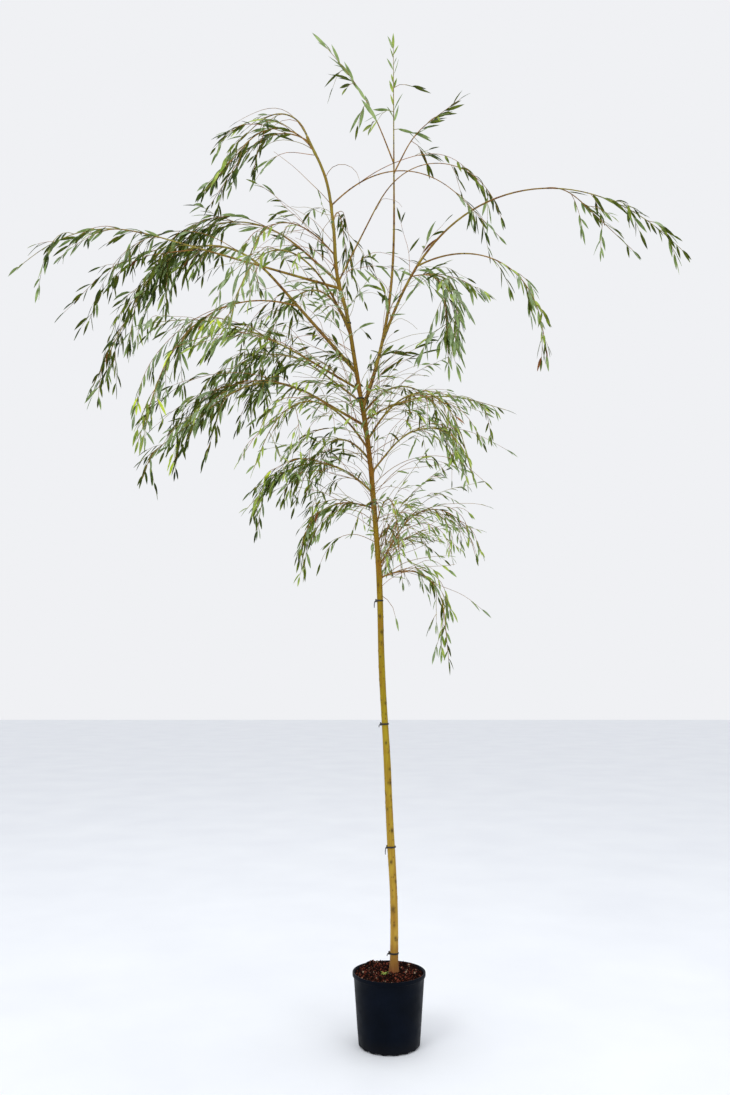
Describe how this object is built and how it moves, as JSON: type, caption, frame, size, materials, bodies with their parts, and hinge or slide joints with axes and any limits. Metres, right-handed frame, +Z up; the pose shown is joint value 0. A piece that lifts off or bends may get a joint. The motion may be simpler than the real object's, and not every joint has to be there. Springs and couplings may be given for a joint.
{
  "type": "potted weeping willow tree",
  "caption": "Young weeping willow with a clear slender stem and an open crown of arching, hanging leafy limbs, growing in a tapered black nursery pot.",
  "frame": {"origin": "middle of the pot's flat underside", "axes": "+Z up; +X to the right and -Y towards the viewer of the front view"},
  "size_m": [3.2174, 1.4443, 4.6233],
  "materials": {
    "pot_plastic": "matte",
    "compost": "rough",
    "bark": "smooth bark",
    "foliage": "matte leaf",
    "tie": "matte"
  },
  "bodies": {
    "root": {"pot": "pot_plastic", "soil": "compost", "trunk": "bark", "tie_1": "tie", "tie_2": "tie", "tie_3": "tie", "tie_4": "tie", "bough_left_second": "bark", "bough_left_third": "bark", "bough_left_fourth": "bark", "bough_left_great": "bark", "bough_left_far": "bark", "bough_left_high": "bark", "bough_second_leader": "bark", "bough_right_great": "bark", "bough_right_middle": "bark", "bough_right_fourth": "bark", "bough_right_third": "bark", "bough_arch_outer": "bark", "bough_front_left": "bark", "bough_front_right": "bark", "bough_front_high": "bark", "bough_back_left": "bark", "bough_back_right": "bark", "bough_back_high": "bark", "mass_left_low": "foliage", "mass_left_second": "foliage", "mass_left_third": "foliage", "mass_left_fourth": "foliage", "mass_left_great": "foliage", "mass_left_under": "foliage", "mass_left_middle": "foliage", "mass_left_far": "foliage", "mass_left_high": "foliage", "mass_leader_side": "foliage", "mass_leader_back": "foliage", "mass_leader": "foliage", "mass_second_leader": "foliage", "mass_top_left": "foliage", "mass_top_right": "foliage", "mass_right_great": "foliage", "mass_right_drop": "foliage", "mass_right_middle": "foliage", "mass_right_inner": "foliage", "mass_right_fourth": "foliage", "mass_right_third": "foliage", "mass_right_second": "foliage", "mass_right_low": "foliage", "mass_arch_outer": "foliage", "mass_arch_inner": "foliage", "mass_front_low": "foliage", "mass_front_left": "foliage", "mass_front_right": "foliage", "mass_front_high": "foliage", "mass_front_top": "foliage", "mass_back_low": "foliage", "mass_back_left": "foliage", "mass_back_right": "foliage", "mass_back_high": "foliage", "mass_back_top": "foliage"}
  },
  "joints": []
}
